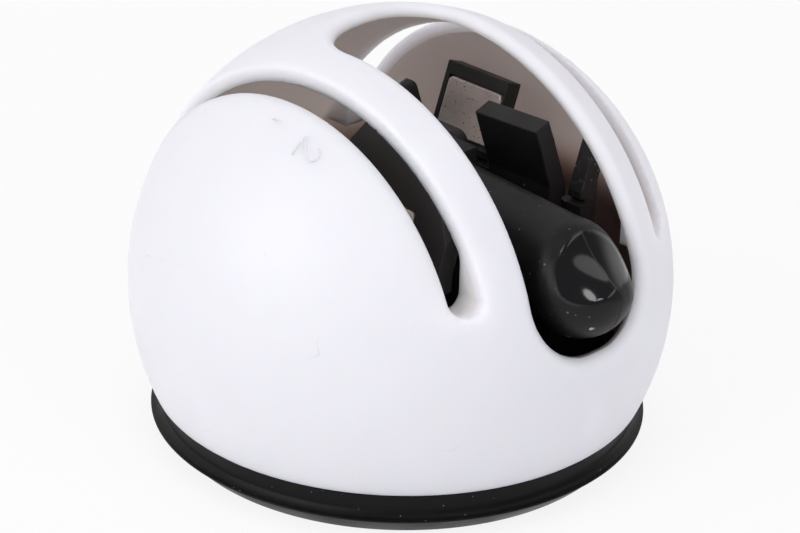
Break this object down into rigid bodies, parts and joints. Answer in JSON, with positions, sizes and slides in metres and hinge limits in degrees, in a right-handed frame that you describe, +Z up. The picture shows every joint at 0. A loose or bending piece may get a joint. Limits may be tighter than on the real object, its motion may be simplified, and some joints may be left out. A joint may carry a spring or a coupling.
{
  "type": "dome knife sharpener",
  "caption": "White dome-shaped knife sharpener with two slots over V-shaped sharpening plates, a swing lever and a rubber suction base that grips the worktop.",
  "frame": {"origin": "middle of the suction cup's resting face, on the worktop", "axes": "+Z up, lever points to -Y, knife slots run along Y"},
  "size_m": [0.08, 0.0826, 0.0626],
  "materials": {
    "white_plastic": "satin moulded white",
    "black_plastic": "fine matt",
    "lever_plastic": "satin with a polished dish",
    "black_rubber": "matt",
    "insert_metal": "sintered grey",
    "steel": "plain"
  },
  "bodies": {
    "housing": {"dome_shell": "white_plastic", "base_plate": "black_plastic", "suction_cup": "black_rubber", "lever_bracket": "black_plastic", "stem_bush": "steel", "wear_plate": "steel", "right_block": "black_plastic", "left_block": "black_plastic", "right_front_holder": "black_plastic", "right_front_post": "black_plastic", "right_rear_holder": "black_plastic", "right_rear_post": "black_plastic", "left_front_holder": "black_plastic", "left_front_post": "black_plastic", "left_rear_holder": "black_plastic", "left_rear_post": "black_plastic", "right_front_insert": "insert_metal", "right_rear_insert": "insert_metal", "left_front_insert": "insert_metal", "left_rear_insert": "insert_metal", "dome_screws": "steel", "block_screws": "steel", "bracket_screws": "steel"},
    "plunger": {"stem": "steel", "stem_plate": "steel", "lever_pin": "steel", "pin_rings": "steel"},
    "lever": {"lever": "lever_plastic"}
  },
  "joints": [
    {"name": "stem_slide", "type": "slide", "parent": "housing", "child": "plunger", "axis": [0, 0, 1], "range_m": [-0.003, 0], "deforming": ["suction_cup"]},
    {"name": "lever_swing", "type": "hinge", "parent": "plunger", "child": "lever", "pos_m": [0, 0, 0.037], "axis": [-1, 0, 0], "range_deg": [0, 80]}
  ],
  "couplings": [
    {"joint": "stem_slide", "follows": "lever_swing", "m_per_rad": -0.0021485}
  ]
}
